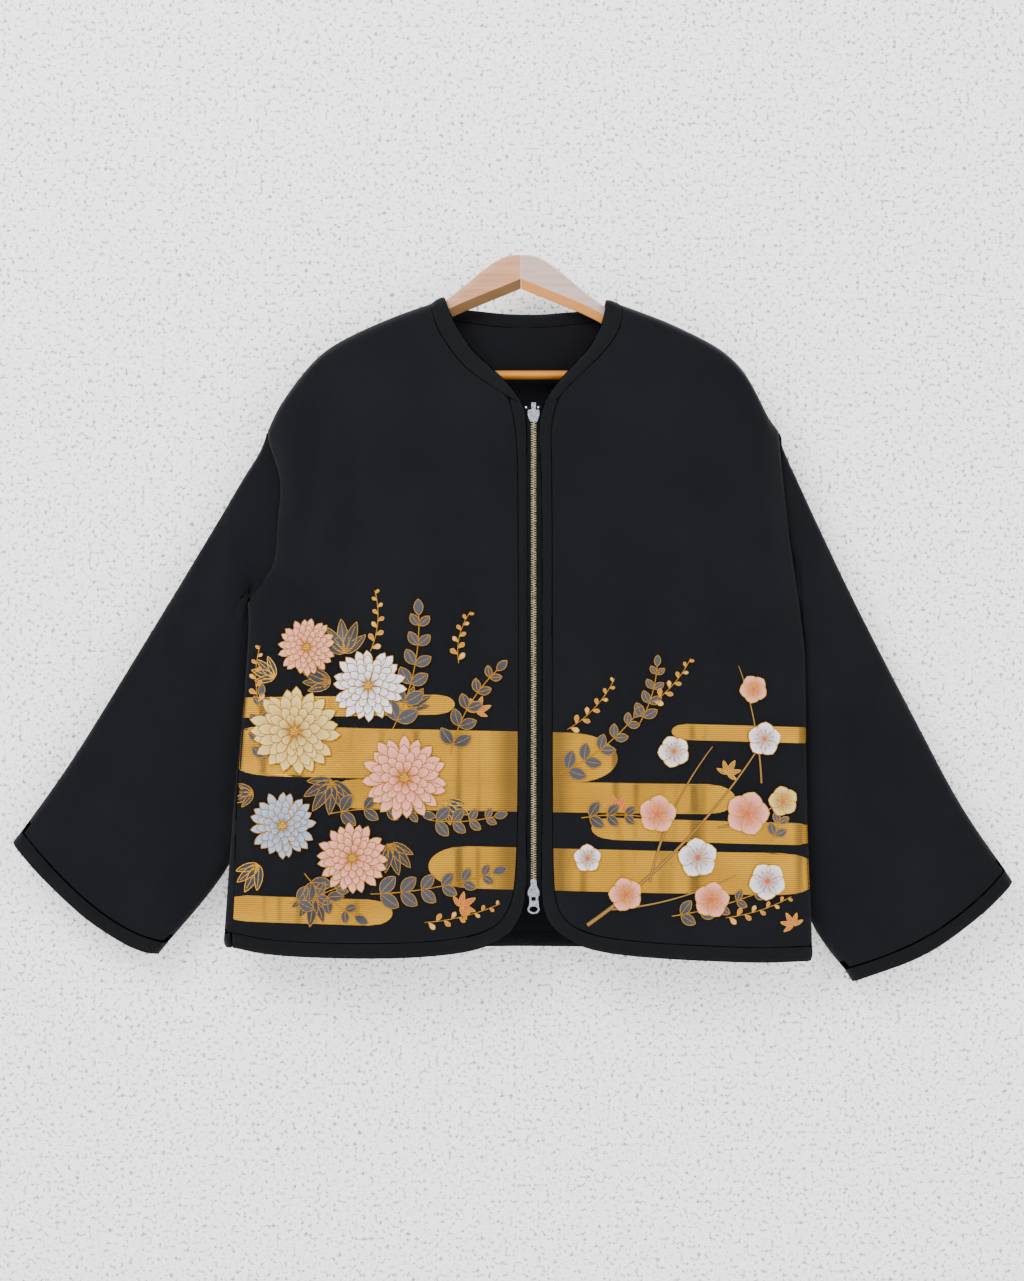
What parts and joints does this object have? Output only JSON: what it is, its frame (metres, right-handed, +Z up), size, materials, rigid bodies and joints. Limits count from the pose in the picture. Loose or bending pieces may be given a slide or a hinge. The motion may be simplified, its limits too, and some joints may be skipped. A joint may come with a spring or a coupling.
{
  "type": "padded zip jacket on a wooden clothes hanger",
  "caption": "Black padded collarless jacket with wide straight sleeves, bound edges and a two-way metal zip, hanging flat on a wooden hanger with a trouser bar.",
  "frame": {"origin": "middle of the hanger's top, where the hanger is held", "axes": "+X towards the wearer's left, -Y out of the front, +Z up"},
  "size_m": [1.0065, 0.0621, 0.732],
  "materials": {
    "black_cloth": "woven, soft satin",
    "black_binding": "woven, matte",
    "zip_tape": "woven tape",
    "nickel": "plated, bright",
    "hanger_wood": "clear varnish"
  },
  "bodies": {
    "jacket": {"front_right": "black_cloth", "front_left": "black_cloth", "back_right": "black_cloth", "back_left": "black_cloth", "sleeve_right": "black_cloth", "sleeve_left": "black_cloth", "cuff_right": "black_binding", "cuff_left": "black_binding", "neck_band": "black_binding", "edge_band_right": "black_binding", "edge_band_left": "black_binding", "hem_band_back": "black_binding", "zip_tape_right": "zip_tape", "zip_tape_left": "zip_tape", "slider_top": "nickel", "slider_bottom": "nickel", "top_stop_right": "nickel", "top_stop_left": "nickel", "hanger_arm_right": "hanger_wood", "hanger_arm_left": "hanger_wood", "hanger_bar": "hanger_wood"},
    "bottom_tab": {"pull_tab_bottom": "nickel"},
    "top_tab": {"pull_tab_top": "nickel"}
  },
  "joints": [
    {"name": "bottom_tab_swing", "type": "hinge", "parent": "jacket", "child": "bottom_tab", "pos_m": [0.0125, -0.02575, -0.6395], "axis": [-1, 0, 0], "range_deg": [0, 150]},
    {"name": "top_tab_swing", "type": "hinge", "parent": "jacket", "child": "top_tab", "pos_m": [0.0125, -0.01735, -0.1636], "axis": [1, 0, 0], "range_deg": [0, 140]}
  ]
}
